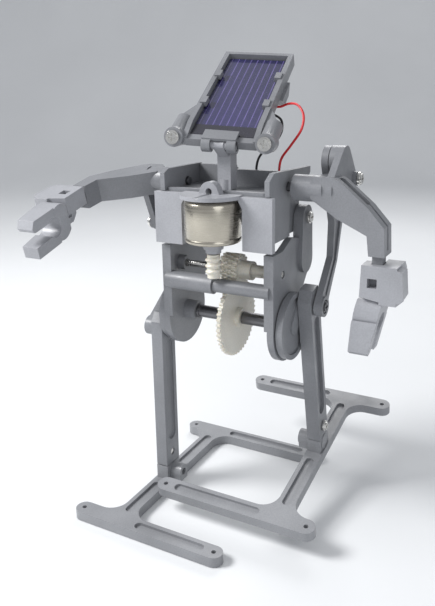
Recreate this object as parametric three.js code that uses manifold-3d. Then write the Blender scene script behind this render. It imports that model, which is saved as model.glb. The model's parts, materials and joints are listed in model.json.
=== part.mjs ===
// Solar walking robot kit, assembled: two side plates carry a crankshaft that walks two legs,
// a small motor drives it through a worm, and a tilting solar panel is its head.
// Millimetres, +Z up, ground at Z = 0, front of the robot toward -Y, its left side toward +X.
import * as THREE from 'three';
import Module from 'manifold-3d';
import { mergeVertices } from 'three/addons/utils/BufferGeometryUtils.js';

const wasm = await Module();
wasm.setup();

// ---------- driving dimensions ----------
const GAP = 0.3;
const SHAFT_Z = 91.6;
const CRANK_THROW = 11;
const CRANK_ANGLE = THREE.MathUtils.degToRad(50);
const SHAFT_RADIUS = 1.6;
const DISC_RADIUS = 15;
const DISC_IN = 27.9;
const DISC_OUT = 31;
const LOBE_RADIUS = 16;
const PLATE_IN = 24.4;
const PLATE_OUT = 27.4;
const PLATE_FRONT = -15.8;
const GEAR_RADIUS = 17.9;
const GEAR_TEETH = 45;
const WHEEL_RADIUS = 7;
const WHEEL_TEETH = 18;
const WHEEL_Y = -5.5;
const WHEEL_Z = 116.2;
const MOTOR_Y = -17.3;
const MOTOR_RADIUS = 12.2;
const MOTOR_BOTTOM = 131;
const MOTOR_TOP = 149.5;
const COVER_FRONT = -18.8;
const COVER_BACK = -16.1;
const COVER_HALF = 28.3;
const COVER_BOTTOM = 128.2;
const COVER_TOP = 151;
const LEG_IN = 31.4;
const LEG_OUT = 37.6;
const LEG_MID = (LEG_IN + LEG_OUT) / 2;
const LEG_DEPTH = 11;
const LEFT_LEG_TILT = THREE.MathUtils.degToRad(11);
const FOOT_THICK = 4.6;
const LEG_LENGTH = SHAFT_Z - CRANK_THROW * Math.sin(CRANK_ANGLE) - FOOT_THICK;
const BAR_RADIUS = 4.05;
const FILLET = 8;
const BAR_SHORT_OUT = 19.8;
const BAR_SHORT_IN = 49.3;
const BAR_LONG_OUT = 13;
const BAR_LONG_IN = 57.5;
const SPINE_TO_SHORT = 41.6;
const SPINE_TO_LONG = 49.7;
const ROD_IN = 38.2;
const ROD_OUT = 41.2;
const SHOULDER_Y = 2.5;
const SHOULDER_Z = 153;
const SHOULDER_RADIUS = 5.65;
const LEVER_Y = 12.93;
const LEVER_Z = 10.57;
const RIGHT_ARM_SWING = THREE.MathUtils.degToRad(76);
const HEAD_Y = -9.1;
const HEAD_Z = 173.2;
const BARREL_Y = -1.9;
const BARREL_Z = -1.4;
const PANEL_TILT = THREE.MathUtils.degToRad(58);
const PANEL_TURN = THREE.MathUtils.degToRad(10);
const PANEL_ROLL = THREE.MathUtils.degToRad(3.5);
const CELL_WIDTH = 28.5;
const CELL_LENGTH = 61;
const CELL_START = 1.9;
const WIRE_RADIUS = 0.55;

// ---------- materials ----------
const material = (color, roughness, metalness) =>
  new THREE.MeshStandardMaterial({ color, roughness, metalness });
const greyPlastic = material(0x85878c, 0.5, 0);
const palePlastic = material(0xb4b6bd, 0.5, 0);
const creamPlastic = material(0xdcd6c6, 0.55, 0);
const steel = material(0xb9b4a6, 0.28, 0.95);
const darkSteel = material(0x55565a, 0.4, 0.8);
const screwSteel = material(0xc9c7c0, 0.25, 1);
const cellFilm = material(0x23234f, 0.3, 0);
const redVinyl = material(0xc8202a, 0.5, 0);
const blackVinyl = material(0x1c1d20, 0.5, 0);

// ---------- solids ----------
const toSolid = (geometry) => {
  geometry.deleteAttribute('normal');
  geometry.deleteAttribute('uv');
  const merged = mergeVertices(geometry, 1e-4);
  return new wasm.Manifold(new wasm.Mesh({
    numProp: 3,
    vertProperties: Float32Array.from(merged.attributes.position.array),
    triVerts: Uint32Array.from(merged.index.array),
  }));
};

// Turns an extrusion made in (u, v, w) into the wanted axes: X takes (w, u, v), Y takes (u, -w, v).
const AXES = {
  X: new THREE.Matrix4().set(0, 0, 1, 0, 1, 0, 0, 0, 0, 1, 0, 0, 0, 0, 0, 1),
  Y: new THREE.Matrix4().set(1, 0, 0, 0, 0, 0, -1, 0, 0, 1, 0, 0, 0, 0, 0, 1),
  Z: new THREE.Matrix4(),
};

const prism = (axis, points, from, to) => {
  const shape = new THREE.Shape(points.map(([u, v]) => new THREE.Vector2(u, v)));
  const geometry = new THREE.ExtrudeGeometry(shape, { depth: to - from, bevelEnabled: false });
  geometry.translate(0, 0, axis === 'Y' ? -to : from);
  geometry.applyMatrix4(AXES[axis]);
  return toSolid(geometry);
};

const ring = (u, v, radius, sides = 28) => {
  const points = [];
  for (let i = 0; i < sides; i += 1) {
    const angle = (i * 2 * Math.PI) / sides;
    points.push([u + radius * Math.cos(angle), v + radius * Math.sin(angle)]);
  }
  return points;
};

// Points along an arc, with angles in degrees.
const arc = (u, v, radius, from, to, steps = 8) => {
  const points = [];
  for (let i = 0; i <= steps; i += 1) {
    const angle = THREE.MathUtils.degToRad(from + ((to - from) * i) / steps);
    points.push([u + radius * Math.cos(angle), v + radius * Math.sin(angle)]);
  }
  return points;
};

// Convex outline round a list of circles [u, v, radius].
const hull = (circles, sides = 28) => {
  const points = circles.flatMap(([u, v, radius]) => ring(u, v, radius, sides));
  points.sort((a, b) => a[0] - b[0] || a[1] - b[1]);
  const turn = (o, a, b) => (a[0] - o[0]) * (b[1] - o[1]) - (a[1] - o[1]) * (b[0] - o[0]);
  const half = (list) => {
    const kept = [];
    for (const point of list) {
      while (kept.length > 1 && turn(kept[kept.length - 2], kept[kept.length - 1], point) <= 1e-6) {
        kept.pop();
      }
      kept.push(point);
    }
    kept.pop();
    return kept;
  };
  return [...half(points), ...half([...points].reverse())];
};

const rect = (u0, u1, v0, v1) => [[u0, v0], [u1, v0], [u1, v1], [u0, v1]];
const box = (x0, x1, y0, y1, z0, z1) => prism('Z', rect(x0, x1, y0, y1), z0, z1);
const rod = (axis, u, v, radius, from, to, sides = 28) =>
  prism(axis, ring(u, v, radius, sides), from, to);
const join = (first, ...rest) => rest.reduce((sum, next) => sum.add(next), first);
const cut = (first, ...rest) => rest.reduce((sum, next) => sum.subtract(next), first);

const toothed = (radius, teeth, depth) => {
  const points = [];
  const pitch = (2 * Math.PI) / teeth;
  const steps = [[-0.32, radius - depth], [-0.14, radius], [0.14, radius], [0.32, radius - depth]];
  for (let i = 0; i < teeth; i += 1) {
    for (const [share, r] of steps) {
      points.push([r * Math.cos((i + share) * pitch), r * Math.sin((i + share) * pitch)]);
    }
  }
  return points;
};

const group = new THREE.Group();

const place = (solid, matrix) => {
  if (!matrix) return solid;
  return solid.transform(matrix.elements);
};

const addMesh = (name, solid, look) => {
  const mesh = solid.getMesh();
  const geometry = new THREE.BufferGeometry();
  geometry.setAttribute('position', new THREE.BufferAttribute(Float32Array.from(mesh.vertProperties), 3));
  geometry.setIndex(new THREE.BufferAttribute(Uint32Array.from(mesh.triVerts), 1));
  const flat = geometry.toNonIndexed();
  flat.computeVertexNormals();
  const node = new THREE.Mesh(flat, look);
  node.name = name;
  group.add(node);
};

const mirror = (solid) => solid.mirror([1, 0, 0]);
const bothSides = (name, solid, look) => {
  addMesh(`left_${name}`, solid, look);
  addMesh(`right_${name}`, mirror(solid), look);
};

// ---------- side plates ----------
const SCREW_Y = 18.4;
const SCREW_Z = 137.2;
const sidePlate = (tubeRadius, tubeFrom) => {
  const lower = prism('X', [
    [PLATE_FRONT, SHAFT_Z], [6, 97], [14, 101], [25, 113], [25, 126], [4, 130.5], [-6, 126.5],
    [PLATE_FRONT, 126.5],
  ], PLATE_IN, PLATE_OUT);
  const lobe = rod('X', 0, SHAFT_Z, LOBE_RADIUS, PLATE_IN, PLATE_OUT, 40);
  const pillar = prism('X', hull([[SCREW_Y, SCREW_Z, 5.6], [18.2, 118, 6.6]]), PLATE_IN, PLATE_OUT + 1.6);
  const frontRib = box(PLATE_IN - 1.4, PLATE_OUT, PLATE_FRONT, PLATE_FRONT + 3, 93, 126.5);
  const tube = rod('X', -14.2, 110.3, tubeRadius, tubeFrom, PLATE_IN + 1, 24);
  const shaftBoss = rod('X', 0, SHAFT_Z, 4.6, 18.4, PLATE_IN + 1, 24);
  const wheelBoss = rod('X', WHEEL_Y, WHEEL_Z, 3.4, 20.6, PLATE_IN + 1, 24);
  let plate = join(lower, lobe, pillar, frontRib, tube, shaftBoss, wheelBoss);
  plate = cut(plate,
    rod('X', 0, SHAFT_Z, SHAFT_RADIUS + GAP, 10, 40, 20),
    rod('X', WHEEL_Y, WHEEL_Z, 1.5 + GAP, 10, 40, 20),
    rod('X', SCREW_Y, SCREW_Z, 1.3 + GAP, 10, 40, 16));
  return plate;
};
addMesh('left_side_plate', sidePlate(3.1, -1.2), greyPlastic);
addMesh('right_side_plate', mirror(sidePlate(4.1, 1.5)), greyPlastic);

// Pan-head screw along X: the head rests at headAt and the shank runs inward to shankTo.
const screwAlongX = (y, z, headAt, shankTo, headRadius = 2.9, shankRadius = 1.3, headHeight = 1.7) => {
  const head = rod('X', y, z, headRadius, headAt, headAt + headHeight * 0.6, 24);
  const crown = rod('X', y, z, headRadius * 0.78, headAt, headAt + headHeight, 24);
  const shank = rod('X', y, z, shankRadius, shankTo, headAt + 0.2, 16);
  const slotA = box(headAt + headHeight - 0.8, headAt + 9, y - 0.35, y + 0.35, z - 1.6, z + 1.6);
  const slotB = box(headAt + headHeight - 0.8, headAt + 9, y - 1.6, y + 1.6, z - 0.35, z + 0.35);
  return cut(join(head, crown, shank), slotA, slotB);
};
bothSides('plate_screw', screwAlongX(SCREW_Y, SCREW_Z, PLATE_OUT + 1.6 + GAP, 22.6), screwSteel);

// ---------- upper housing with the tray ----------
const TRAY_FLOOR = 151.2;
const TRAY_TOP = 160.5;
const HOUSING_HALF = 26.2;
const HOUSING_INNER = 24;
const housing = (() => {
  const front = box(-HOUSING_HALF, HOUSING_HALF, -15.5, 4, 131, TRAY_FLOOR);
  const rear = box(-HOUSING_INNER, HOUSING_INNER, 3, 20, 131, TRAY_FLOOR);
  const wallFoot = [[-16.9, COVER_TOP + GAP], [-15.5, COVER_TOP + GAP], [-15.5, 149]];
  const walls = [
    prism('X', [...wallFoot, [15.6, 149], [15.6, TRAY_TOP - 0.5], [-13.5, TRAY_TOP], [-16.9, TRAY_TOP - 1.6]],
      -HOUSING_HALF, -HOUSING_HALF + 2.2),
    prism('X', [...wallFoot, [20, 149], [28, 156.5], [28, 159], [-12, TRAY_TOP], [-16.9, 157.6]],
      HOUSING_HALF - 2.2, HOUSING_HALF),
    box(-HOUSING_HALF, -5, 13.4, 15.6, 149, 159.6),
    prism('Z', [[-6, 9.8], [-6, 7.6], [25, 7.6], [25, 9.8]], 149, 158.6),
    box(-6.6, -4.4, 7.6, 15.6, 149, 158.6),
  ];
  const cavity = box(-HOUSING_INNER + 2, HOUSING_INNER - 2, -20, 17.8, 120, 148.4);
  const pocket = rod('Z', 0, MOTOR_Y, MOTOR_RADIUS + 1.2, 120, 150, 40);
  const pegHole = rod('Z', 0, -5, 2.5 + GAP, 140, 170, 20);
  const ledge = box(-23, 23, -15.5, -13.2, TRAY_FLOOR - 1, TRAY_FLOOR + 1.4);
  let solid = join(front, rear, ...walls, ledge);
  for (const [from, to] of [[-30, -22.5], [22.5, 30]]) {
    solid = cut(solid, rod('X', SHOULDER_Y, SHOULDER_Z, 1.9 + GAP, from, to, 20));
  }
  solid = cut(solid, rod('X', SCREW_Y, SCREW_Z, 1.3 + GAP, -30, 30, 16));
  return cut(solid, cavity, pocket, pegHole);
})();
addMesh('upper_housing', housing, greyPlastic);

// ---------- front cover ----------
const cover = (() => {
  const plate = prism('Y', rect(-COVER_HALF, COVER_HALF, COVER_BOTTOM, COVER_TOP), COVER_FRONT, COVER_BACK);
  const boss = prism('Y', hull([[0, 152.6, 4.2], [-3.2, 148, 3], [3.2, 148, 3]]), COVER_FRONT - 1.6, COVER_BACK);
  const hood = rod('Z', 0, MOTOR_Y, MOTOR_RADIUS + 1.6, 149.9, 151.6, 40)
    .intersect(box(-20, 20, -40, COVER_BACK, 140, 160));
  const opening = prism('Y', [
    [-14.6, COVER_BOTTOM - 2], [14.6, COVER_BOTTOM - 2], [14.6, 146], [12.6, 149.6], [-12.6, 149.6], [-14.6, 146],
  ], -40, 0);
  const canRoom = rod('Z', 0, MOTOR_Y, MOTOR_RADIUS + GAP + 0.3, 120, 149.9, 40);
  const hole = rod('Y', 0, 152.6, 1.5, -40, 0, 20);
  return cut(join(cut(plate, opening), boss, hood), canRoom, hole);
})();
addMesh('front_cover', cover, palePlastic);

// ---------- motor, worm and gears ----------
const can = join(
  rod('Z', 0, MOTOR_Y, MOTOR_RADIUS, MOTOR_BOTTOM + 0.8, MOTOR_TOP, 48),
  rod('Z', 0, MOTOR_Y, MOTOR_RADIUS - 0.9, MOTOR_BOTTOM, MOTOR_BOTTOM + 1, 48),
);
addMesh('motor_can', can, steel);
const bush = cut(
  join(rod('Z', 0, MOTOR_Y, 4.4, 127.6, MOTOR_BOTTOM - GAP, 28), rod('Z', 0, MOTOR_Y, 3.4, 125.8, 128, 28)),
  rod('Z', 0, MOTOR_Y, 1 + GAP, 120, 129.4, 16),
);
addMesh('motor_bush', bush, palePlastic);
const WORM_RADIUS = 3.9;
const worm = (() => {
  const core = rod('Z', 0, MOTOR_Y, 2.9, 114.8, 125.2, 18);
  const shaft = rod('Z', 0, MOTOR_Y, 1, 120, 129, 14);
  const turns = 3;
  const steps = 12;
  const path = [];
  for (let i = 0; i <= turns * steps; i += 1) {
    const angle = (i * 2 * Math.PI) / steps;
    path.push(new THREE.Vector3(
      (WORM_RADIUS - 0.9) * Math.cos(angle),
      MOTOR_Y + (WORM_RADIUS - 0.9) * Math.sin(angle),
      115.9 + (i / steps) * 2.6,
    ));
  }
  const thread = new THREE.Shape(ring(0, 0, 0.8, 6).map(([u, v]) => new THREE.Vector2(u, v)));
  const geometry = new THREE.ExtrudeGeometry(thread, {
    steps: turns * steps,
    extrudePath: new THREE.CatmullRomCurve3(path),
    bevelEnabled: false,
  });
  return join(core, shaft, toSolid(geometry));
})();
addMesh('motor_worm', worm, creamPlastic);

const worm_wheel = (() => {
  const slices = 4;
  const width = 8.4;
  const start = 1.5 - 2.4;
  let solid = null;
  const outline = toothed(WHEEL_RADIUS, WHEEL_TEETH, 1.3);
  for (let i = 0; i < slices; i += 1) {
    const twist = i * 0.11;
    const turned = outline.map(([u, v]) => [
      WHEEL_Y + u * Math.cos(twist) - v * Math.sin(twist),
      WHEEL_Z + u * Math.sin(twist) + v * Math.cos(twist),
    ]);
    const from = start + (i * width) / slices;
    const slice = prism('X', turned, from, from + width / slices + (i < slices - 1 ? 0.02 : 0));
    solid = solid ? solid.add(slice) : slice;
  }
  const hub = rod('X', WHEEL_Y, WHEEL_Z, 4.2, start + width - 0.1, 13.2, 24);
  const collar = rod('X', WHEEL_Y, WHEEL_Z, 2.8, 13, 19.8, 24);
  return cut(join(solid, hub, collar), rod('X', WHEEL_Y, WHEEL_Z, 1.5 + GAP, -20, 30, 20));
})();
addMesh('worm_wheel', worm_wheel, creamPlastic);
addMesh('wheel_axle', rod('X', WHEEL_Y, WHEEL_Z, 1.5, -27, 27, 20), steel);

const gear = (() => {
  const disc = prism('X', toothed(GEAR_RADIUS, GEAR_TEETH, 0.9).map(([u, v]) => [u, v + SHAFT_Z]), 0.6, 2.6);
  const hub = rod('X', 0, SHAFT_Z, 4.4, -1.8, 5, 28);
  return cut(join(disc, hub), rod('X', 0, SHAFT_Z, SHAFT_RADIUS + GAP, -20, 20, 20));
})();
addMesh('crank_gear', gear, creamPlastic);
addMesh('crankshaft', rod('X', 0, SHAFT_Z, SHAFT_RADIUS, -30.2, 30.2, 20), steel);
const sleeve = (from, to) => cut(
  join(rod('X', 0, SHAFT_Z, 2.9, from, to, 24), rod('X', 0, SHAFT_Z, 3.4, to - 1.2, to, 24)),
  rod('X', 0, SHAFT_Z, SHAFT_RADIUS + GAP, -40, 40, 20),
);
addMesh('left_sleeve', sleeve(5.3, 18.1), darkSteel);
addMesh('right_sleeve', mirror(sleeve(2.1, 18.1)), darkSteel);

// ---------- crank discs ----------
const leftPinY = CRANK_THROW * Math.cos(CRANK_ANGLE);
const leftPinZ = CRANK_THROW * Math.sin(CRANK_ANGLE);
const crankDisc = (pinY, pinZ) => {
  const disc = rod('X', 0, SHAFT_Z, DISC_RADIUS, DISC_IN, DISC_OUT, 56);
  const dish = rod('X', 0, SHAFT_Z, DISC_RADIUS - 2.2, DISC_OUT - 0.9, DISC_OUT + 2, 48);
  const hub = rod('X', 0, SHAFT_Z, 4, DISC_OUT - 1.2, DISC_OUT, 28);
  const web = prism('X', hull([[0, SHAFT_Z, 4], [pinY, SHAFT_Z + pinZ, 3.6]]), DISC_OUT - 1.2, DISC_OUT);
  const pin = rod('X', pinY, SHAFT_Z + pinZ, 2.3, DISC_OUT - 1.2, LEG_OUT - 0.3, 24);
  const bore = rod('X', 0, SHAFT_Z, SHAFT_RADIUS + GAP, DISC_IN - 2, 30.5, 20);
  return cut(join(cut(disc, dish), hub, web, pin), bore);
};
addMesh('left_crank_disc', crankDisc(leftPinY, leftPinZ), greyPlastic);
addMesh('right_crank_disc', mirror(crankDisc(-leftPinY, -leftPinZ)), greyPlastic);

// ---------- legs and feet, drawn round the crank pin at the origin ----------
const BARREL_TOP = 7.1;
const ANKLE_Z = -LEG_LENGTH + 13;
const leg = (() => {
  const half = LEG_DEPTH / 2;
  const bottom = -LEG_LENGTH + BARREL_TOP + GAP;
  const bar = prism('X', [
    [-half, bottom], [half, bottom], [half, 4], [half - 1.6, 8.2], [-half + 3, 8.2], [-half, 3.6],
  ], LEG_IN, LEG_OUT);
  const groove = (from, to) => prism('X', hull([[0, -9, 3.1], [0, bottom + 16, 3.1]], 20), from, to);
  const slot = box(LEG_MID - 1.9, LEG_MID + 1.9, -4.3, 4.3, bottom - 1, bottom + 12.6);
  return cut(bar,
    groove(LEG_OUT - 1.7, LEG_OUT + 2), groove(LEG_IN - 2, LEG_IN + 1.2), slot,
    rod('X', 0, 0, 2.3 + GAP, 20, 50, 24),
    rod('X', 0, ANKLE_Z, 1.3 + GAP, 20, 50, 16));
})();

// shortFront is 1 when the short bar is at the front, -1 when the foot is turned end for end.
const foot = (shortFront) => {
  const top = -LEG_LENGTH;
  const x = LEG_MID;
  const shortY = -SPINE_TO_SHORT * shortFront;
  const longY = SPINE_TO_LONG * shortFront;
  const bars = [
    { y: shortY, inner: x - BAR_SHORT_IN, outer: x + BAR_SHORT_OUT },
    { y: longY, inner: x - BAR_LONG_IN, outer: x + BAR_LONG_OUT },
  ].sort((one, other) => one.y - other.y);
  const [front, rear] = bars;
  const low = front.y + BAR_RADIUS + FILLET;
  const high = rear.y - BAR_RADIUS - FILLET;
  const reach = BAR_RADIUS + FILLET;
  const outline = [
    ...arc(front.inner, front.y, BAR_RADIUS, 90, 270),
    ...arc(front.outer, front.y, BAR_RADIUS, -90, 90),
    ...arc(x + reach, low, FILLET, 270, 180),
    ...arc(x + reach, high, FILLET, 180, 90),
    ...arc(rear.outer, rear.y, BAR_RADIUS, -90, 90),
    ...arc(rear.inner, rear.y, BAR_RADIUS, 90, 270),
    ...arc(x - reach, high, FILLET, 90, 0),
    ...arc(x - reach, low, FILLET, 0, -90),
  ];
  let solid = join(
    prism('Z', outline, top - FOOT_THICK, top),
    box(LEG_IN - 5.8, LEG_OUT - 0.4, -3.4, 3.4, top - 1, top + 3.2),
    rod('X', 0, top + 3.5, 3.6, LEG_IN - 6, LEG_OUT + 0.3, 28),
    box(LEG_IN, LEG_OUT, -LEG_DEPTH / 2, LEG_DEPTH / 2, top - 1, top + BARREL_TOP),
    box(LEG_MID - 1.6, LEG_MID + 1.6, -4, 4, top, top + 19));
  const channel = BAR_RADIUS - 2;
  const trough = (points) => prism('Z', points, top - 1.3, top + 0.5);
  solid = cut(solid,
    trough(hull([[x - 11, shortY, channel], [x - BAR_SHORT_IN + 7, shortY, channel]], 16)),
    trough(hull([[x - 11, longY, channel], [x - BAR_LONG_IN + 7, longY, channel]], 16)),
    trough(hull([[x, shortY * 0.8, channel], [x, shortY * 0.27, channel]], 16)),
    trough(hull([[x, longY * 0.8, channel], [x, longY * 0.24, channel]], 16)),
    rod('X', 0, top + 3.5, 1.7, LEG_IN - 8, LEG_IN - 2, 20),
    rod('X', 0, ANKLE_Z, 1.3 + GAP, 20, 50, 16));
  for (const [hx, hy] of [
    [x + BAR_SHORT_OUT, shortY], [x - BAR_SHORT_IN, shortY], [x + BAR_LONG_OUT, longY], [x - BAR_LONG_IN, longY],
  ]) {
    solid = cut(solid, rod('Z', hx, hy, 1.1, top - 1.6, top + 1, 12));
  }
  return solid;
};
const ankleScrew = screwAlongX(0, ANKLE_Z, LEG_OUT + GAP, LEG_IN + 0.6, 2.6);

// Places a part drawn round the crank pin: pin position, then the leg's tilt about X.
const legPlace = (pinY, pinZ, tilt) => new THREE.Matrix4()
  .makeTranslation(0, pinY, SHAFT_Z + pinZ)
  .multiply(new THREE.Matrix4().makeRotationX(tilt));
const leftLegPlace = legPlace(leftPinY, leftPinZ, LEFT_LEG_TILT);
const rightLegPlace = legPlace(-leftPinY, -leftPinZ, 0);
addMesh('left_leg', place(leg, leftLegPlace), greyPlastic);
addMesh('right_leg', mirror(place(leg, rightLegPlace)), greyPlastic);
addMesh('left_foot', place(foot(-1), leftLegPlace), greyPlastic);
addMesh('right_foot', mirror(place(foot(1), rightLegPlace)), greyPlastic);
addMesh('left_ankle_screw', place(ankleScrew, leftLegPlace), screwSteel);
addMesh('right_ankle_screw', mirror(place(ankleScrew, rightLegPlace)), screwSteel);

// ---------- upper rods, drawn in the left side's rest position ----------
const leverEndY = SHOULDER_Y + LEVER_Y;
const leverEndZ = SHOULDER_Z + LEVER_Z;
const pinAbsZ = SHAFT_Z + leftPinZ;
const upperRod = (() => {
  const eye = [leftPinY, pinAbsZ, 4.6];
  const bend = [21.5, 118.5, 3.4];
  const blade = [25.2, 136, 5.8];
  const top = [leverEndY, leverEndZ, 6.2];
  const body = join(
    prism('X', hull([eye, bend]), ROD_IN, ROD_OUT),
    prism('X', hull([bend, blade]), ROD_IN, ROD_OUT),
    prism('X', hull([blade, top]), ROD_IN, ROD_OUT),
    rod('X', leftPinY, pinAbsZ, 4.6, ROD_IN, ROD_OUT + 1, 28));
  const groove = [[10.5, 105, 1.1], [21.2, 118.6, 1.4], [24.8, 135, 3.2], [20, 151, 3]];
  return cut(body,
    prism('X', hull(groove.slice(0, 2), 16), ROD_OUT - 0.9, ROD_OUT + 3),
    prism('X', hull(groove.slice(1, 3), 16), ROD_OUT - 0.9, ROD_OUT + 3),
    prism('X', hull(groove.slice(2, 4), 16), ROD_OUT - 0.9, ROD_OUT + 3),
    rod('X', leftPinY, pinAbsZ, 3.2, ROD_OUT - 0.4, ROD_OUT + 3, 24),
    rod('X', leftPinY, pinAbsZ, 1.3 + GAP, 20, 60, 16),
    rod('X', leverEndY, leverEndZ, 1.9 + GAP, 20, 60, 20));
})();
const rodScrew = screwAlongX(leftPinY, pinAbsZ, ROD_OUT - 0.1, ROD_IN + 0.2, 2.6);

// The right rod is the same part turned about its lever end, which sits lower on that side.
const turnAbout = (y, z, angle) => new THREE.Matrix4()
  .makeTranslation(0, y, z)
  .multiply(new THREE.Matrix4().makeRotationX(angle))
  .multiply(new THREE.Matrix4().makeTranslation(0, -y, -z));
const swing = -RIGHT_ARM_SWING;
const rightEndY = SHOULDER_Y + LEVER_Y * Math.cos(swing) - LEVER_Z * Math.sin(swing);
const rightEndZ = SHOULDER_Z + LEVER_Y * Math.sin(swing) + LEVER_Z * Math.cos(swing);
const leftLean = Math.atan2(leverEndY - leftPinY, leverEndZ - pinAbsZ);
const rightLean = Math.atan2(rightEndY + leftPinY, rightEndZ - (SHAFT_Z - leftPinZ));
const rightRodPlace = new THREE.Matrix4()
  .makeTranslation(0, rightEndY, rightEndZ)
  .multiply(new THREE.Matrix4().makeRotationX(leftLean - rightLean))
  .multiply(new THREE.Matrix4().makeTranslation(0, -leverEndY, -leverEndZ));
addMesh('left_rod', upperRod, greyPlastic);
addMesh('right_rod', mirror(place(upperRod, rightRodPlace)), greyPlastic);
addMesh('left_rod_screw', rodScrew, darkSteel);
addMesh('right_rod_screw', mirror(place(rodScrew, rightRodPlace)), darkSteel);

// ---------- arms, drawn hanging straight down ----------
const ARM_FRONT = -2.6;
const ARM_BACK = 8.4;
const arm = (() => {
  const shoulder = rod('X', SHOULDER_Y, SHOULDER_Z, SHOULDER_RADIUS, 29.4, 43, 32);
  const beam = prism('Y', [
    [38, 149.4], [49.6, 141.8], [62.4, 135.7], [63.3, 127.4], [69.9, 127.4], [69.4, 139.3], [62.4, 147.2],
    [50.5, 157.2], [47, 158.6], [40, 158.6], [38, 156.5],
  ], ARM_FRONT, ARM_BACK);
  const peg = box(64.4, 68.8, -0.6, 4.4, 123.6, 128);
  const slotTop = prism('Y', [[46, 153.2], [58.4, 144], [64, 151], [52, 162]], 0.9, 5);
  const ribA = prism('Y', [[62.6, 150], [60.8, 147.2], [68.3, 138.6], [68.7, 129.4], [72, 129.4], [72, 140]], 2.2, 3.8);
  const drum = rod('X', leverEndY, leverEndZ, 6.4, ROD_OUT + 0.4, 47.4, 32);
  const plate = prism('X', hull([
    [SHOULDER_Y, SHOULDER_Z, SHOULDER_RADIUS], [leverEndY, leverEndZ, 6.4], [26.4, 154.6, 3.6],
  ]), 44.4, 47.4);
  const boss = rod('X', 26.4, 154.6, 3.2, 47, 49.2, 24);
  const pin = rod('X', leverEndY, leverEndZ, 1.9, ROD_IN + 0.2, ROD_OUT + 1, 20);
  return cut(join(shoulder, beam, peg, drum, plate, boss, pin),
    slotTop, ribA,
    rod('X', SHOULDER_Y, SHOULDER_Z, 1.9 + GAP, 20, 37, 20),
    rod('X', 26.4, 154.6, 1.3 + GAP, 40, 60, 16));
})();
const hand = (() => {
  const palm = prism('Y', [
    [60.4, 110.4], [71.8, 108.6], [77.4, 109.6], [78.6, 112], [77.8, 122.4], [72.6, 124], [61, 124],
  ], -4, 4.2);
  const window = prism('X', [
    [-4, 108], [9.6, 106.5], [12.6, 109.6], [12.6, 121], [9.6, 124], [-4, 124],
  ], 68.6, 75.6);
  const hole = prism('X', [[4.3, 111.4], [9.8, 110.6], [9.8, 120.6], [4.3, 120.6]], 60, 80);
  const socket = box(64.4 - GAP, 68.8 + GAP, -0.6 - GAP, 4.4 + GAP, 123.6 - GAP, 130);
  const square = box(63.6, 67.6, -8, 0.4, 114.6, 118.6);
  const gripX = [[59.2, 108.8], [70, 109.6], [68, 99], [64.4, 84], [56.2, 84], [57.4, 98]];
  const grip = prism('Y', gripX, -4.6, 12).intersect(
    cut(
      join(
        prism('X', hull([[3.8, 103, 8], [3.8, 110, 4]]), 50, 80),
        prism('X', [[-4.4, 100], [-4.4, 86], [-1.4, 84], [0.4, 85.2], [1.6, 98]], 50, 80),
        prism('X', [[6, 98], [6.4, 78], [9, 76.2], [11.8, 78], [11.8, 100]], 50, 80)),
      rod('X', 3.8, 98, 4.4, 40, 90, 28),
      box(40, 90, 0.5, 6.8, 70, 98)));
  return cut(join(palm, window, grip), hole, socket, square);
})();
const leverScrew = screwAlongX(26.4, 154.6, 49.2 + GAP, 44.8, 3);
const armPlaceRight = turnAbout(SHOULDER_Y, SHOULDER_Z, swing);
addMesh('left_arm', arm, greyPlastic);
addMesh('right_arm', mirror(place(arm, armPlaceRight)), greyPlastic);
addMesh('left_hand', hand, palePlastic);
addMesh('right_hand', mirror(place(hand, armPlaceRight)), palePlastic);
addMesh('left_lever_screw', leverScrew, screwSteel);
addMesh('right_lever_screw', mirror(place(leverScrew, armPlaceRight)), screwSteel);
bothSides('shoulder_axle', rod('X', SHOULDER_Y, SHOULDER_Z, 1.9, 22.8, 36.6, 20), darkSteel);

// ---------- head: neck, tilting panel frame and solar cell ----------
const headTurn = new THREE.Matrix4()
  .makeTranslation(0, HEAD_Y, HEAD_Z)
  .multiply(new THREE.Matrix4().makeRotationZ(PANEL_TURN))
  .multiply(new THREE.Matrix4().makeRotationY(PANEL_ROLL));
// Panel parts are drawn with X across, Y up the panel and Z out of its face, then leaned back.
const panelPlace = headTurn.clone().multiply(new THREE.Matrix4().makeRotationX(Math.PI / 2 - PANEL_TILT));
const BARREL_RADIUS = 1.9;
const barrelCentre = new THREE.Vector3(0, BARREL_Y, BARREL_Z).applyMatrix4(panelPlace);
const neck = (() => {
  const peg = rod('Z', 0, -5, 2.5, 150.2, 156, 20);
  const post = box(-3.2, 3.2, -6.6, -0.8, TRAY_FLOOR + GAP, 167.6);
  const arm = prism('X', hull([
    [barrelCentre.y, barrelCentre.z, BARREL_RADIUS], [-4.4, 167, 2.4], [-2, 166.8, 1.2],
  ], 24), -2.5, 2.5);
  const barrel = place(rod('X', BARREL_Y, BARREL_Z, BARREL_RADIUS, -7.2, 7.2, 24), panelPlace);
  return join(peg, post, arm, barrel);
})();
addMesh('neck_post', neck, palePlastic);

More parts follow.
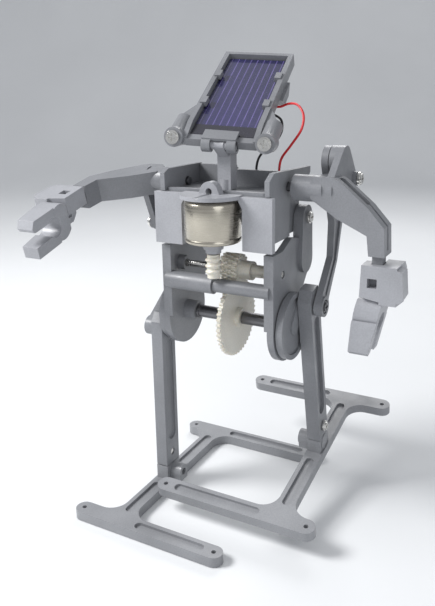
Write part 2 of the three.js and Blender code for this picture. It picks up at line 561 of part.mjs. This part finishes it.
const WALL_X = CELL_WIDTH / 2 + 0.4;
const WALL_THICK = 2.3;
const BOSS_X = 20.3;
const FRAME_TOP = CELL_START + CELL_LENGTH + 2.6;
const frame = (() => {
  const span = (side, near, far) => (side > 0 ? [near, far] : [-far, -near]);
  const pieces = [box(-WALL_X - 1, WALL_X + 1, 1.4, FRAME_TOP, -3, -1.2)];
  pieces.push(box(-WALL_X - WALL_THICK, WALL_X + WALL_THICK, FRAME_TOP - 2, FRAME_TOP, -3, 3));
  for (const side of [-1, 1]) {
    const wall = prism('X', [[-1.6, -3], [FRAME_TOP, -3], [FRAME_TOP, 3], [8, 3.3], [-1.6, 1.4]],
      ...span(side, WALL_X, WALL_X + WALL_THICK));
    const bar = box(...span(side, 7.6, WALL_X + 1), -1.8, 1.6, -3, 0.7);
    const rail = prism('Y', ring(side * BOSS_X, -0.2, 3.9, 24), -1, 12);
    const shoulder = prism('Z', side > 0
      ? [[WALL_X + 1, 6], [BOSS_X + 2.4, 11], [WALL_X + 1, 24]]
      : [[-WALL_X - 1, 24], [-BOSS_X - 2.4, 11], [-WALL_X - 1, 6]], -3, 2.4);
    const hook = rod('X', BARREL_Y, BARREL_Z, 3.3, ...span(side, 3.7, 7.6), 24);
    const hookFoot = box(...span(side, 3.7, 7.6), -1.8, 1.6, -3, -0.6);
    const clips = [21, 43].map((y) => box(...span(side, WALL_X - 1.7, WALL_X + 1.2), y, y + 4.6, 1.5, 3.9));
    pieces.push(wall, bar, rail, shoulder, hook, hookFoot, ...clips);
  }
  pieces.push(prism('X', [[35, -2.8], [38, -7.4], [46, -7.4], [50, -2.8]], WALL_X + 0.1, WALL_X + WALL_THICK + 1.4));
  pieces.push(box(-7.6, 7.6, -2.6, 3.4, 1.2, 2.4));
  let solid = join(...pieces);
  for (const side of [-1, 1]) {
    solid = cut(solid, rod('X', BARREL_Y, BARREL_Z, BARREL_RADIUS + GAP, ...span(side, 0, 7.9), 24));
  }
  solid = cut(solid,
    box(-3.7, 3.7, -8, 3.2, -6, 0.9),
    box(-WALL_X + 0.1, WALL_X - 0.1, CELL_START - GAP, CELL_START + CELL_LENGTH + GAP, -1.2, 1.2));
  let placed = place(solid, panelPlace);
  for (const side of [-1, 1]) {
    placed = join(placed, place(rod('Y', side * BOSS_X, 0, 4.3, -3.4, 3.2, 28), headTurn));
    placed = cut(placed, place(rod('Y', side * BOSS_X, 0, 1.3 + GAP, -6, 2.2, 16), headTurn));
  }
  return placed;
})();
addMesh('panel_frame', frame, greyPlastic);
const cell = box(-CELL_WIDTH / 2, CELL_WIDTH / 2, CELL_START, CELL_START + CELL_LENGTH, -0.9, 0.7);
addMesh('solar_cell', place(cell, panelPlace), cellFilm);
const panelScrew = (x) => {
  const front = -3.4 - GAP;
  const head = rod('Y', x, 0, 3, front - 1, front, 24);
  const crown = rod('Y', x, 0, 2.3, front - 1.7, front, 24);
  const shank = rod('Y', x, 0, 1.3, front - 0.6, 1.4, 16);
  const slots = [
    box(x - 1.6, x + 1.6, front - 3, front - 0.9, -0.35, 0.35),
    box(x - 0.35, x + 0.35, front - 3, front - 0.9, -1.6, 1.6),
  ];
  return cut(join(head, crown, shank), ...slots);
};
addMesh('left_panel_screw', place(panelScrew(BOSS_X), headTurn), screwSteel);
addMesh('right_panel_screw', place(panelScrew(-BOSS_X), headTurn), screwSteel);

// ---------- wires from the back of the panel down into the tray ----------
const wire = (points) => {
  const curve = new THREE.CatmullRomCurve3(points.map(([x, y, z]) => new THREE.Vector3(x, y, z)));
  const shape = new THREE.Shape(ring(0, 0, WIRE_RADIUS, 8).map(([u, v]) => new THREE.Vector2(u, v)));
  return toSolid(new THREE.ExtrudeGeometry(shape, { steps: 34, extrudePath: curve, bevelEnabled: false }));
};
const RED_ROUTE = [
  [5, 22.3, 186.7], [8.8, 23.2, 186.2], [12.9, 23.4, 185.6], [17.9, 22, 187], [23.2, 19.4, 186.6],
  [27, 16.8, 182.4], [27, 14.6, 176.4], [22.6, 13.8, 169.6], [18, 13.6, 163.4], [17, 13.2, 157], [16.8, 13, 151.9],
];
const BLACK_ROUTE = [
  [4.2, 17, 183.6], [8.6, 18, 183.1], [13.6, 17.7, 181.9], [17, 16.2, 179.6], [17.3, 14.8, 174.6],
  [13.4, 14, 169], [8.2, 13.8, 165.2], [6, 13.6, 160.4], [5.6, 13.4, 151.9],
];
addMesh('red_wire', wire(RED_ROUTE), redVinyl);
addMesh('black_wire', wire(BLACK_ROUTE), blackVinyl);

export default group;
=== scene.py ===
# Small solar walking robot: finishes, fine shapes, wires, light and camera.
import json
import math
import bmesh
import bpy
from mathutils import Matrix, Vector
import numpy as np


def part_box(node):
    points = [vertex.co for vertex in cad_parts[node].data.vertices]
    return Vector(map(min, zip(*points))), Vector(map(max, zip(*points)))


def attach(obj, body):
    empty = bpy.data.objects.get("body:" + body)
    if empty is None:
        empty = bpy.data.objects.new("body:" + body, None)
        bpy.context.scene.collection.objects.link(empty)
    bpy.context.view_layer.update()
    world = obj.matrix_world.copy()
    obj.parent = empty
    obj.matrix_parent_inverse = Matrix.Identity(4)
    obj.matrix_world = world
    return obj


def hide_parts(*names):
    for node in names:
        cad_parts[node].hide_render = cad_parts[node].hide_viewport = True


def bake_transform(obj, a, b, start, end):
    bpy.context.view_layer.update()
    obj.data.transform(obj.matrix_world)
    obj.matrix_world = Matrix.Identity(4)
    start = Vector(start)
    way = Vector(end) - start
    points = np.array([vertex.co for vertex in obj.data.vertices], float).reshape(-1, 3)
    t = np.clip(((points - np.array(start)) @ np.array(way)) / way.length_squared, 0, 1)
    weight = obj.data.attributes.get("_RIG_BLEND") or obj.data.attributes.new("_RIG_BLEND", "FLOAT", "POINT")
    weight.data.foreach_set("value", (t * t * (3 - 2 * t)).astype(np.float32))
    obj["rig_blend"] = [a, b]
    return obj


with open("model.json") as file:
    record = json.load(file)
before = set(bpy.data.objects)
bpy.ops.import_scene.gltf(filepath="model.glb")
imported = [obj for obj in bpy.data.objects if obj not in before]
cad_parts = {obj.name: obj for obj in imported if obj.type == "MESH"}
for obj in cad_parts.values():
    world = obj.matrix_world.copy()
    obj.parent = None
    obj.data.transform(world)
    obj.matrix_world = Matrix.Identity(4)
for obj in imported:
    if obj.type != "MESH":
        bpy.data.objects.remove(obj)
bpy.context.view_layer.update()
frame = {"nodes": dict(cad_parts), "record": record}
NODES = frame["nodes"]
BODY_OF = {
    node: body
    for body, names in frame["record"]["behaviour"]["bodies"].items()
    for node in names
}
MM = 0.001


# ---------------------------------------------------------------- camera

def add_camera():
    data = bpy.data.cameras.new("camera")
    data.sensor_width = 36
    data.lens = 40.24
    data.shift_x = -0.0143
    data.shift_y = -0.0976
    data.clip_start = 0.01
    data.clip_end = 20
    camera = bpy.data.objects.new("camera", data)
    bpy.context.scene.collection.objects.link(camera)
    yaw, pitch, roll = (math.radians(a) for a in (28.399, 13.487, -0.942))
    ahead = Vector((
        -math.sin(yaw) * math.cos(pitch), math.cos(yaw) * math.cos(pitch), -math.sin(pitch),
    ))
    flat_right = Vector((math.cos(yaw), math.sin(yaw), 0))
    flat_up = flat_right.cross(ahead)
    right = math.cos(roll) * flat_right + math.sin(roll) * flat_up
    up = math.cos(roll) * flat_up - math.sin(roll) * flat_right
    matrix = Matrix((right, up, -ahead)).transposed().to_4x4()
    matrix.translation = Vector((0.13883, -0.26252, 0.19715))
    camera.matrix_world = matrix
    bpy.context.scene.camera = camera


add_camera()


# ------------------------------------------------------------- materials

class Shader:
    """A node material with short calls for the nodes it is made of."""

    def __init__(self, name):
        self.material = bpy.data.materials.new(name)
        self.material.use_nodes = True
        self.tree = self.material.node_tree
        self.surface = self.tree.nodes["Principled BSDF"]
        self.place = self.node("ShaderNodeTexCoord").outputs["Object"]

    def node(self, kind, **values):
        made = self.tree.nodes.new(kind)
        for key, value in values.items():
            setattr(made, key, value)
        return made

    def link(self, source, target):
        self.tree.links.new(source, target)

    def stretched(self, scale):
        mapping = self.node("ShaderNodeMapping")
        mapping.inputs["Scale"].default_value = scale
        self.link(self.place, mapping.inputs["Vector"])
        return mapping.outputs["Vector"]

    def noise(self, scale, detail=3.0, vector=None):
        made = self.node("ShaderNodeTexNoise")
        made.inputs["Scale"].default_value = scale
        made.inputs["Detail"].default_value = detail
        self.link(vector or self.place, made.inputs["Vector"])
        return made.outputs["Fac"]

    def ramp(self, factor, stops):
        made = self.node("ShaderNodeValToRGB")
        elements = made.color_ramp.elements
        while len(elements) < len(stops):
            elements.new(0.5)
        for element, (position, colour) in zip(elements, stops):
            element.position = position
            element.color = (*colour, 1)
        self.link(factor, made.inputs["Fac"])
        return made.outputs["Color"]

    def span(self, factor, low, high):
        made = self.node("ShaderNodeMapRange")
        made.inputs["To Min"].default_value = low
        made.inputs["To Max"].default_value = high
        made.inputs["From Min"].default_value = 0.3
        made.inputs["From Max"].default_value = 0.7
        self.link(factor, made.inputs["Value"])
        return made.outputs["Result"]

    def mix(self, factor, first, second):
        made = self.node("ShaderNodeMix", data_type="RGBA")
        self.link(factor, made.inputs["Factor"])
        for socket, value in ((made.inputs["A"], first), (made.inputs["B"], second)):
            if isinstance(value, tuple):
                socket.default_value = (*value, 1)
            else:
                self.link(value, socket)
        return made.outputs["Result"]

    def math(self, operation, first, second=0.0):
        made = self.node("ShaderNodeMath", operation=operation)
        for socket, value in zip(made.inputs, (first, second)):
            if isinstance(value, float):
                socket.default_value = value
            else:
                self.link(value, socket)
        return made.outputs["Value"]

    def bump(self, layers):
        """Bumps of (height, strength, depth in metres), each on the one before."""
        normal = None
        for height, strength, depth in layers:
            made = self.node("ShaderNodeBump")
            made.inputs["Strength"].default_value = strength
            made.inputs["Distance"].default_value = depth
            self.link(height, made.inputs["Height"])
            if normal:
                self.link(normal, made.inputs["Normal"])
            normal = made.outputs["Normal"]
        self.link(normal, self.surface.inputs["Normal"])

    def set(self, **values):
        for key, value in values.items():
            socket = self.surface.inputs[key.replace("_", " ")]
            if hasattr(value, "links"):
                self.link(value, socket)
            else:
                socket.default_value = value


def moulded(name, colour, roughness, tint=0.12, grain=0.35, soft=0.0):
    """Injection-moulded plastic: faint flow marks, fine spark-eroded grain and handling polish."""
    shader = Shader(name)
    flow = shader.noise(38, 4)
    speck = shader.noise(1500, 2)
    darker = tuple(c * (1 - tint) for c in colour)
    paler = tuple(min(1, c * (1 + tint)) for c in colour)
    base = shader.ramp(flow, [(0.3, darker), (0.7, paler)])
    fine = shader.ramp(speck, [(0.35, (0.90,) * 3), (0.65, (1.0,) * 3)])
    blend = shader.node("ShaderNodeMix", data_type="RGBA", blend_type="MULTIPLY")
    blend.inputs["Factor"].default_value = 1.0
    shader.link(base, blend.inputs["A"])
    shader.link(fine, blend.inputs["B"])
    polish = shader.noise(140, 3)
    shader.set(
        Base_Color=blend.outputs["Result"],
        Roughness=shader.span(polish, roughness - 0.07, roughness + 0.09),
        IOR=1.5,
    )
    if soft:
        shader.set(Subsurface_Weight=soft, Subsurface_Radius=(0.002, 0.0015, 0.001))
        shader.set(Subsurface_Scale=0.5)
    shader.bump([
        (speck, grain, 0.00006),
        (shader.noise(260, 2), 0.12, 0.0001),
    ])
    return shader.material


def drawn_steel(name, colour, roughness, lines, scratches=0.10):
    """Bare metal with turning or drawing lines across the given direction, and light scratches."""
    shader = Shader(name)
    grain = shader.noise(1.0, 4, shader.stretched(lines))
    cloud = shader.noise(90, 4)
    darker = tuple(c * 0.80 for c in colour)
    shader.set(
        Base_Color=shader.ramp(cloud, [(0.32, darker), (0.68, colour)]),
        Metallic=1.0,
        Roughness=shader.span(grain, roughness - 0.07, roughness + 0.10),
    )
    shader.bump([
        (grain, scratches, 0.00004),
        (shader.noise(700, 3), 0.06, 0.00005),
    ])
    return shader.material


def solar_film(name, pitch, foot):
    """Dark blue cell strips with violet gather lines between them, under clear resin."""
    shader = Shader(name)
    axes = shader.node("ShaderNodeSeparateXYZ")
    shader.link(shader.place, axes.inputs["Vector"])
    across = shader.math("DIVIDE", axes.outputs["X"], pitch)
    phase = shader.math("FRACT", shader.math("ADD", across, 20.0))
    distance = shader.math("ABSOLUTE", shader.math("SUBTRACT", phase, 0.5))
    line = shader.math("GREATER_THAN", distance, 0.435)
    sheen = shader.noise(26, 4, shader.stretched((1.0, 0.25, 1.0)))
    navy = shader.ramp(sheen, [(0.3, (0.010, 0.010, 0.045)), (0.7, (0.030, 0.026, 0.115))])
    lilac = shader.ramp(shader.noise(160, 3), [(0.3, (0.075, 0.06, 0.20)), (0.7, (0.15, 0.12, 0.32))])
    bands = shader.mix(line, navy, lilac)
    near_foot = shader.math("LESS_THAN", axes.outputs["Y"], foot)
    shader.set(
        Base_Color=shader.mix(near_foot, bands, (0.012, 0.011, 0.022)),
        Roughness=shader.span(shader.noise(300, 3), 0.20, 0.34),
        Coat_Weight=1.0,
        Coat_Roughness=0.06,
    )
    shader.bump([(line, 0.15, 0.00008), (shader.noise(420, 2), 0.05, 0.00006)])
    return shader.material


def vinyl(name, colour):
    """Extruded wire cover: faint ripples and a soft sheen."""
    shader = Shader(name)
    mottled = shader.noise(500, 3)
    darker = tuple(c * 0.7 for c in colour)
    shader.set(
        Base_Color=shader.ramp(mottled, [(0.3, darker), (0.7, colour)]),
        Roughness=shader.span(shader.noise(900, 2), 0.30, 0.46),
    )
    shader.bump([(mottled, 0.15, 0.00005)])
    return shader.material


GREY = moulded("grey_plastic", (0.215, 0.22, 0.235), 0.36)
FOOT_GREY = moulded("foot_grey_plastic", (0.265, 0.27, 0.285), 0.36)
PALE = moulded("pale_plastic", (0.34, 0.345, 0.368), 0.36)
CREAM = moulded("cream_acetal", (0.70, 0.67, 0.59), 0.34, tint=0.05, grain=0.15, soft=0.25)
CAN = drawn_steel("bright_steel", (0.50, 0.465, 0.395), 0.22, (40, 40, 2600), 0.14)
AXLE = drawn_steel("axle_steel", (0.70, 0.69, 0.66), 0.22, (2600, 40, 40))
DARK = drawn_steel("dark_steel", (0.19, 0.19, 0.20), 0.34, (2200, 60, 60))
SCREW = drawn_steel("screw_steel", (0.80, 0.79, 0.76), 0.20, (260, 260, 260), 0.03)
RED = vinyl("red_vinyl", (0.66, 0.012, 0.018))
BLACK = vinyl("black_vinyl", (0.016, 0.016, 0.018))


# -------------------------------------------------------- shape helpers

WELD = 0.002 * MM
FLAT_WITHIN_DEGREES = 0.6
SHARP_FROM_DEGREES = 32
LINE_STEPS = 24

def finished(name, mesh, material, node, place=None):
    """Adds a mesh as a finished piece that stands for its CAD node."""
    piece = bpy.data.objects.new(name, mesh)
    bpy.context.scene.collection.objects.link(piece)
    if place:
        piece.matrix_world = place
    mesh.materials.clear()
    mesh.materials.append(material)
    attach(piece, BODY_OF[node])
    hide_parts(node)
    return piece


def smooth(mesh):
    for polygon in mesh.polygons:
        polygon.use_smooth = True


def rounded(piece, width):
    """The small radius that a mould or a tumbled edge leaves."""
    bevel = piece.modifiers.new("edge_radius", "BEVEL")
    bevel.width = width
    bevel.segments = 2
    bevel.limit_method = "ANGLE"
    bevel.angle_limit = math.radians(SHARP_FROM_DEGREES)
    bevel.harden_normals = True
    bevel.use_clamp_overlap = True
    return piece


def refine(node, material, width):
    """A clean copy of a CAD node, with flat faces joined and its edges rounded."""
    mesh = NODES[node].data.copy()
    shape = bmesh.new()
    shape.from_mesh(mesh)
    bmesh.ops.transform(shape, matrix=NODES[node].matrix_world, verts=shape.verts)
    bmesh.ops.remove_doubles(shape, verts=shape.verts, dist=WELD)
    bmesh.ops.dissolve_limit(
        shape, angle_limit=math.radians(FLAT_WITHIN_DEGREES), verts=shape.verts, edges=shape.edges,
    )
    shape.to_mesh(mesh)
    shape.free()
    for name in list(mesh.attributes.keys()):
        if name.startswith("custom_normal"):
            mesh.attributes.remove(mesh.attributes[name])
    smooth(mesh)
    return rounded(finished(node + "_fine", mesh, material, node), width)


def lathe(profile, sides=96):
    """A closed solid of revolution about Z from (radius, height) points, both ends on the axis."""
    shape = bmesh.new()
    rings = []
    for radius, height in profile:
        if radius < 1e-9:
            rings.append([shape.verts.new((0, 0, height))])
            continue
        turn = [2 * math.pi * i / sides for i in range(sides)]
        rings.append([
            shape.verts.new((radius * math.cos(a), radius * math.sin(a), height)) for a in turn
        ])
    for lower, upper in zip(rings, rings[1:]):
        for i in range(sides):
            j = (i + 1) % sides
            corners = []
            for ring, index in ((lower, i), (lower, j), (upper, j), (upper, i)):
                vertex = ring[index] if len(ring) > 1 else ring[0]
                if vertex not in corners:
                    corners.append(vertex)
            if len(corners) > 2:
                shape.faces.new(corners)
    bmesh.ops.recalc_face_normals(shape, faces=shape.faces)
    mesh = bpy.data.meshes.new("lathe")
    shape.to_mesh(mesh)
    shape.free()
    smooth(mesh)
    return mesh


def tube(name, points, radius, sides=16, step=0.5 * MM):
    """A round tube along a smooth line through the points, and that line."""
    line = smooth_line([Vector(p) * MM for p in points], step)
    shape = bmesh.new()
    rings = []
    side = None
    for i, here in enumerate(line):
        ahead = (line[min(i + 1, len(line) - 1)] - line[max(i - 1, 0)]).normalized()
        if side is None:
            side = ahead.orthogonal().normalized()
        side = (side - ahead * side.dot(ahead)).normalized()
        other = ahead.cross(side)
        turn = [2 * math.pi * k / sides for k in range(sides)]
        rings.append([
            shape.verts.new(here + radius * (math.cos(a) * side + math.sin(a) * other))
            for a in turn
        ])
    for lower, upper in zip(rings, rings[1:]):
        for k in range(sides):
            n = (k + 1) % sides
            shape.faces.new((lower[k], lower[n], upper[n], upper[k]))
    shape.faces.new(rings[0][::-1])
    shape.faces.new(rings[-1])
    bmesh.ops.recalc_face_normals(shape, faces=shape.faces)
    mesh = bpy.data.meshes.new(name)
    shape.to_mesh(mesh)
    shape.free()
    smooth(mesh)
    return mesh, line


def smooth_line(points, step):
    """Points at least a step apart on a uniform Catmull-Rom line through the given ones."""
    ends = [2 * points[0] - points[1]] + points + [2 * points[-1] - points[-2]]
    dense = []
    for a, b, c, d in zip(ends, ends[1:], ends[2:], ends[3:]):
        for k in range(LINE_STEPS):
            t = k / LINE_STEPS
            dense.append(0.5 * (
                2 * b + (c - a) * t + (2 * a - 5 * b + 4 * c - d) * t * t
                + (3 * b - a - 3 * c + d) * t ** 3
            ))
    dense.append(points[-1])
    line = [dense[0]]
    travelled = 0.0
    for before, after in zip(dense, dense[1:]):
        travelled += (after - before).length
        if travelled >= step:
            line.append(after)
            travelled = 0.0
    line[-1] = points[-1]
    return line


# ---------------------------------------------------------------- wires

WIRE_RADIUS = 0.55 * MM
RED_ROUTE = [
    (5, 22.3, 186.7), (8.8, 23.2, 186.2), (12.9, 23.4, 185.6), (17.9, 22, 187),
    (23.2, 19.4, 186.6), (27, 16.8, 182.4), (27, 14.6, 176.4), (22.6, 13.8, 169.6),
    (18, 13.6, 163.4), (17, 13.2, 157), (16.8, 13, 151.9),
]
BLACK_ROUTE = [
    (4.2, 17, 183.6), (8.6, 18, 183.1), (13.6, 17.7, 181.9), (17, 16.2, 179.6),
    (17.3, 14.8, 174.6), (13.4, 14, 169), (8.2, 13.8, 165.2), (6, 13.6, 160.4),
    (5.6, 13.4, 151.9),
]


def add_wire(name, route, material):
    mesh, line = tube(name, route, WIRE_RADIUS)
    wire = bpy.data.objects.new(name + "_run", mesh)
    bpy.context.scene.collection.objects.link(wire)
    mesh.materials.append(material)
    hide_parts(name)
    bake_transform(wire, "panel", "chassis", start=line[0], end=line[-1])


add_wire("red_wire", RED_ROUTE, RED)
add_wire("black_wire", BLACK_ROUTE, BLACK)


# ------------------------------------------------- plastic and metal pieces

MOULDED_EDGE = 0.35 * MM
SCREW_EDGE = 0.12 * MM
TOOTH_EDGE = 0.12 * MM
GEAR_EDGE = 0.15 * MM
BUSH_EDGE = 0.25 * MM
TURNED_EDGE = 0.3 * MM
for side in ("left_", "right_"):
    for part in ("side_plate", "crank_disc", "leg", "rod", "arm"):
        refine(side + part, GREY, MOULDED_EDGE)
    refine(side + "foot", FOOT_GREY, MOULDED_EDGE)
    refine(side + "hand", PALE, MOULDED_EDGE)
    refine(side + "sleeve", DARK, TURNED_EDGE)
    refine(side + "shoulder_axle", DARK, BUSH_EDGE)
    refine(side + "rod_screw", DARK, SCREW_EDGE)
    for part in ("plate_screw", "ankle_screw", "lever_screw", "panel_screw"):
        refine(side + part, SCREW, SCREW_EDGE)
refine("upper_housing", GREY, MOULDED_EDGE)
refine("panel_frame", GREY, MOULDED_EDGE)
refine("front_cover", PALE, MOULDED_EDGE)
refine("neck_post", PALE, MOULDED_EDGE)
refine("motor_bush", PALE, BUSH_EDGE)
refine("motor_worm", CREAM, TOOTH_EDGE)
refine("worm_wheel", CREAM, TOOTH_EDGE)
refine("crank_gear", CREAM, GEAR_EDGE)
refine("crankshaft", AXLE, TURNED_EDGE)
refine("wheel_axle", AXLE, TURNED_EDGE)


# ------------------------------------------------------------- motor can

def add_motor_can():
    """A drawn can: rolled foot, one groove low on its wall, rounded shoulder and a shallow top recess."""
    low, high = (Vector(corner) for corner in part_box("motor_can"))
    radius = (high.x - low.x) / 2
    height = high.z - low.z
    profile = [
        (0, 0), (radius - 1.1 * MM, 0), (radius - 0.45 * MM, 0.12 * MM),
        (radius - 0.1 * MM, 0.5 * MM),
        (radius, 1.0 * MM), (radius, 1.9 * MM), (radius - 0.22 * MM, 2.1 * MM),
        (radius - 0.22 * MM, 2.4 * MM), (radius, 2.6 * MM), (radius, height - 2.3 * MM),
        (radius - 0.15 * MM, height - 1.5 * MM), (radius - 0.7 * MM, height - 0.6 * MM),
        (radius - 1.5 * MM, height - 0.12 * MM), (radius - 2.2 * MM, height),
        (4.2 * MM, height), (3.9 * MM, height - 0.3 * MM), (0, height - 0.3 * MM),
    ]
    mesh = lathe(profile)
    centre = Vector(((low.x + high.x) / 2, (low.y + high.y) / 2, low.z))
    finished("motor_can_fine", mesh, CAN, "motor_can", place=Matrix.Translation(centre))


add_motor_can()


# ------------------------------------------------------------ solar cell

def add_solar_cell():
    """The cell in its own axes: X across it, Y up it, Z out of its face."""
    turn = (
        Matrix.Rotation(math.radians(10), 4, "Z")
        @ Matrix.Rotation(math.radians(3.5), 4, "Y")
        @ Matrix.Rotation(math.radians(32), 4, "X")
    )
    node = NODES["solar_cell"]
    local = [turn.inverted() @ (node.matrix_world @ v.co) for v in node.data.vertices]
    low = Vector([min(p[i] for p in local) for i in range(3)])
    high = Vector([max(p[i] for p in local) for i in range(3)])
    centre = (low + high) / 2
    half = (high - low) / 2
    shape = bmesh.new()
    bmesh.ops.create_grid(shape, x_segments=14, y_segments=30, size=1)
    for vertex in shape.verts:
        vertex.co = Vector((vertex.co.x * half.x, vertex.co.y * half.y, half.z))
    made = bmesh.ops.extrude_face_region(shape, geom=shape.faces[:])
    for item in made["geom"]:
        if isinstance(item, bmesh.types.BMVert):
            item.co.z = -half.z
    bmesh.ops.recalc_face_normals(shape, faces=shape.faces)
    mesh = bpy.data.meshes.new("solar_cell")
    shape.to_mesh(mesh)
    shape.free()
    smooth(mesh)
    strips = 9
    film = solar_film("solar_film", 2 * half.x / strips, -half.y + 7 * MM)
    place = Matrix.Translation(turn @ centre) @ turn
    rounded(finished("solar_cell_fine", mesh, film, "solar_cell", place=place), 0.3 * MM)


add_solar_cell()


# --------------------------------------------------------- floor and light

def add_floor():
    """A pale sweep: level under the robot, rising behind it."""
    profile = [(-1.6, 0.0), (1.0, 0.0)]
    bend = 0.6
    for k in range(1, 13):
        angle = math.radians(90 * k / 12)
        profile.append((1.0 + bend * math.sin(angle), bend * (1 - math.cos(angle))))
    profile.append((1.0 + bend, 2.4))
    yaw = Matrix.Rotation(math.radians(28.4), 4, "Z")
    shape = bmesh.new()
    columns = [
        [shape.verts.new(yaw @ Vector((x, y, z - 0.0002))) for y, z in profile]
        for x in (-3.0, 3.0)
    ]
    for i in range(len(profile) - 1):
        shape.faces.new((columns[0][i], columns[1][i], columns[1][i + 1], columns[0][i + 1]))
    mesh = bpy.data.meshes.new("floor")
    shape.to_mesh(mesh)
    shape.free()
    smooth(mesh)
    floor = bpy.data.objects.new("floor", mesh)
    bpy.context.scene.collection.objects.link(floor)
    shader = Shader("floor_paper")
    tone = shader.noise(3, 3)
    shader.set(
        Base_Color=shader.ramp(tone, [(0.3, (0.70, 0.71, 0.72)), (0.7, (0.76, 0.77, 0.78))]),
        Roughness=0.85,
    )
    mesh.materials.append(shader.material)


def add_light(name, position, size, power, colour=(1, 1, 1)):
    data = bpy.data.lights.new(name, "AREA")
    data.shape = "DISK"
    data.size = size
    data.energy = power
    data.color = colour
    light = bpy.data.objects.new(name, data)
    bpy.context.scene.collection.objects.link(light)
    light.location = position
    aim = Vector((0, 0, 0.1)) - Vector(position)
    light.rotation_euler = aim.to_track_quat("-Z", "Y").to_euler()


add_floor()
add_light("key", (-0.48, -0.34, 0.60), 0.30, 6.8)
add_light("fill", (0.55, -0.45, 0.30), 0.50, 0.9, (0.94, 0.97, 1.0))
add_light("rim", (-0.15, 0.60, 0.55), 0.40, 1.8)
world = bpy.data.worlds.new("studio")
bpy.context.scene.world = world
world.use_nodes = True
world.node_tree.nodes["Background"].inputs["Color"].default_value = (0.86, 0.88, 0.92, 1)
world.node_tree.nodes["Background"].inputs["Strength"].default_value = 0.60
bpy.context.scene.view_settings.view_transform = "Standard"
